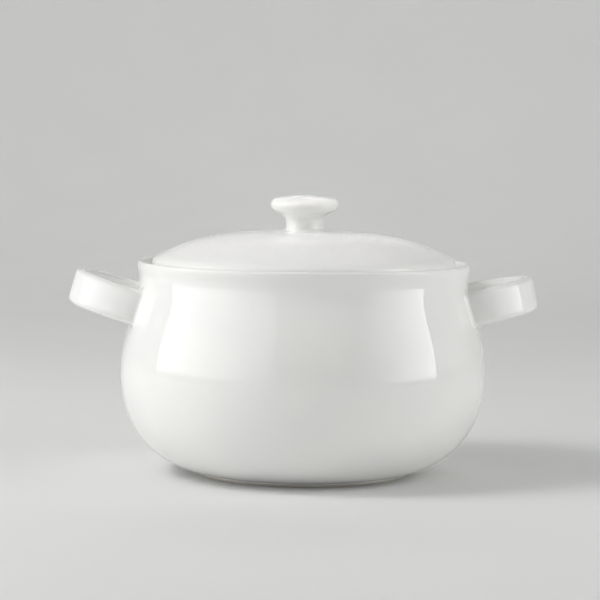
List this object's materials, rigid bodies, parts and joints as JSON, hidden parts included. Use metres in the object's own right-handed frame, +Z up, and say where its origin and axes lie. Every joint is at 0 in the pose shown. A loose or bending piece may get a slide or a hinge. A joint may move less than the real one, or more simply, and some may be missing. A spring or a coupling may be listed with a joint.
{
  "type": "covered casserole dish",
  "caption": "Pot-bellied glazed ceramic casserole with strap loop handles and an inset domed lid that lifts off by its mushroom knob.",
  "frame": {"origin": "centre of the foot ring, on the plane that the pot stands on", "axes": "+Z up along the turned axis of pot and lid, +X through the right-hand handle, so that the handles lie along X"},
  "size_m": [0.2992, 0.2326, 0.1773],
  "materials": {
    "pot_glaze": "gloss white glaze, bare clay on the foot ring and the lid ledge",
    "handle_glaze": "gloss white glaze",
    "lid_glaze": "gloss white glaze, bare clay where it sits on the ledge",
    "knob_glaze": "gloss white glaze"
  },
  "bodies": {
    "pot": {"pot_body": "pot_glaze", "handle_left": "handle_glaze", "handle_right": "handle_glaze"},
    "lid": {"lid": "lid_glaze", "lid_knob": "knob_glaze"}
  },
  "joints": [
    {"name": "lid_lift", "type": "slide", "parent": "pot", "child": "lid", "axis": [0, 0, 1], "range_m": [0, 0.2]}
  ]
}
